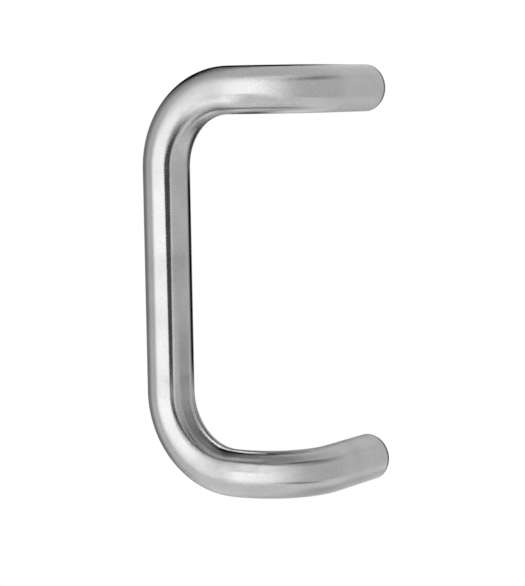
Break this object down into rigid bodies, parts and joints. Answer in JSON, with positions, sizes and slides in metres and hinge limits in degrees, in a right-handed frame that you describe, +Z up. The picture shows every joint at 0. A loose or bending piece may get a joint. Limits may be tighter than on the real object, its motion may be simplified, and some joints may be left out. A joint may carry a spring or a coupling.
{
  "type": "offset pull handle",
  "caption": "Offset door pull bent from solid round bar, its grip standing clear of the door and to one side of its fixings.",
  "frame": {"origin": "on the door's face, midway between the two mounting centres", "axes": "+Z up along the grip, +Y into the door, and -X from the fixings towards the grip"},
  "size_m": [0.1048, 0.0889, 0.2286],
  "materials": {
    "satin_stainless": "satin, brushed round the bar"
  },
  "bodies": {
    "root": {"pull_bar": "satin_stainless"}
  },
  "joints": []
}
